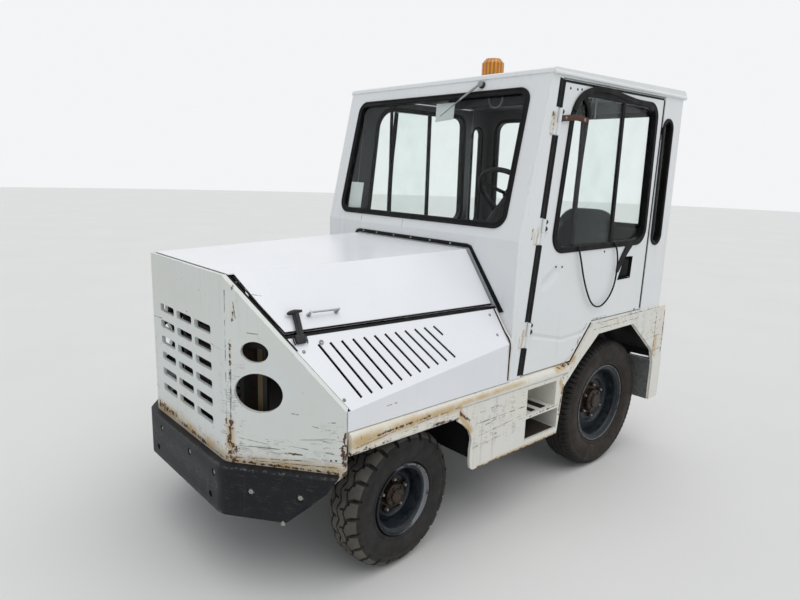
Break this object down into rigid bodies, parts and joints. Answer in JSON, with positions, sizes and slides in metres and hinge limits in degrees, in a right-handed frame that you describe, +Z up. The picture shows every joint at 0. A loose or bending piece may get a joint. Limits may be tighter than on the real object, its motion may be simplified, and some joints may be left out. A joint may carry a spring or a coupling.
{
  "type": "airport baggage tug",
  "caption": "Small glazed tow tractor with slotted steel nose, dark bumper, lifting hood over louvred sides, two doors, steered front wheels and larger rear wheels.",
  "frame": {"origin": "centre of the footprint at floor level", "axes": "+X to the driver's left, +Y to the rear (the nose faces -Y), +Z up"},
  "size_m": [1.4375, 2.8, 2.2328],
  "materials": {
    "body_paint": "weathered semi-gloss",
    "frame_paint": "yellowed semi-gloss",
    "bumper_paint": "faded matt",
    "dark_steel": "matt",
    "engine_iron": "rough",
    "radiator_black": "matt",
    "rim_paint": "worn satin",
    "cab_lining": "matt",
    "dash_plastic": "matt",
    "seat_vinyl": "satin",
    "window_glass": "clear",
    "seal_rubber": "matt",
    "amber_plastic": "glossy",
    "red_plastic": "glossy",
    "bright_steel": "satin",
    "tyre_rubber": "dusty matt"
  },
  "bodies": {
    "chassis": {"frame": "frame_paint", "nose_shell": "body_paint", "bumper": "bumper_paint", "side_panels": "body_paint", "sills": "frame_paint", "rear_body": "body_paint", "front_axle": "dark_steel", "rear_axle": "dark_steel", "engine_block": "engine_iron", "radiator": "radiator_black", "cab_front_wall": "body_paint", "cab_side_walls": "body_paint", "cab_rear_wall": "body_paint", "roof": "body_paint", "cab_floor": "cab_lining", "dashboard": "dash_plastic", "seat_cushion": "seat_vinyl", "seat_back": "seat_vinyl", "cab_glass": "window_glass", "body_seals": "seal_rubber", "beacon": "amber_plastic", "wiper": "dash_plastic", "tow_jaw": "dark_steel", "tail_lamps": "red_plastic"},
    "hood": {"hood_lid": "body_paint", "hood_latches": "seal_rubber", "hood_handles": "bright_steel"},
    "left_door": {"door_left": "body_paint", "door_left_glass": "window_glass", "door_left_rubber": "seal_rubber", "loose_strip_left": "seal_rubber"},
    "right_door": {"door_right": "body_paint", "door_right_glass": "window_glass", "door_right_rubber": "seal_rubber"},
    "steering": {"steering_wheel": "dash_plastic"},
    "left_knuckle": {"knuckle_left": "dark_steel"},
    "right_knuckle": {"knuckle_right": "dark_steel"},
    "front_left_wheel": {"tyre_front_left": "tyre_rubber", "rim_front_left": "rim_paint"},
    "front_right_wheel": {"tyre_front_right": "tyre_rubber", "rim_front_right": "rim_paint"},
    "rear_left_wheel": {"tyre_rear_left": "tyre_rubber", "rim_rear_left": "rim_paint"},
    "rear_right_wheel": {"tyre_rear_right": "tyre_rubber", "rim_rear_right": "rim_paint"}
  },
  "joints": [
    {"name": "left_steer", "type": "hinge", "parent": "chassis", "child": "left_knuckle", "pos_m": [0.452, -0.75, 0.294], "axis": [0, 0, 1], "range_deg": [-34, 26]},
    {"name": "right_steer", "type": "hinge", "parent": "chassis", "child": "right_knuckle", "pos_m": [-0.452, -0.75, 0.294], "axis": [0, 0, 1], "range_deg": [-34, 26]},
    {"name": "steering_turn", "type": "hinge", "parent": "chassis", "child": "steering", "pos_m": [0.3, 0.256, 1.513], "axis": [0, 0.723, 0.6909], "range_deg": [-408, 312]},
    {"name": "front_left_roll", "type": "hinge", "parent": "left_knuckle", "child": "front_left_wheel", "pos_m": [0.56572, -0.74205, 0.294], "axis": [0.9976, 0.0698, 0], "continuous": true},
    {"name": "front_right_roll", "type": "hinge", "parent": "right_knuckle", "child": "front_right_wheel", "pos_m": [-0.56572, -0.75795, 0.294], "axis": [0.9976, 0.0698, 0], "continuous": true},
    {"name": "rear_left_roll", "type": "hinge", "parent": "chassis", "child": "rear_left_wheel", "pos_m": [0.566, 0.764, 0.365], "axis": [1, 0, 0], "continuous": true},
    {"name": "rear_right_roll", "type": "hinge", "parent": "chassis", "child": "rear_right_wheel", "pos_m": [-0.566, 0.764, 0.365], "axis": [1, 0, 0], "continuous": true},
    {"name": "hood_swing", "type": "hinge", "parent": "chassis", "child": "hood", "pos_m": [0, -0.202, 1.258], "axis": [-1, 0, 0], "range_deg": [0, 60]},
    {"name": "left_door_swing", "type": "hinge", "parent": "chassis", "child": "left_door", "pos_m": [0.709, -0.00686, 1.413], "axis": [0, -0.1165, -0.9932], "range_deg": [0, 80]},
    {"name": "right_door_swing", "type": "hinge", "parent": "chassis", "child": "right_door", "pos_m": [-0.709, -0.00686, 1.413], "axis": [0, 0.1165, 0.9932], "range_deg": [0, 80]}
  ],
  "couplings": [
    {"joint": "right_steer", "follows": "left_steer", "ratio": 1},
    {"joint": "steering_turn", "follows": "left_steer", "ratio": 12}
  ]
}
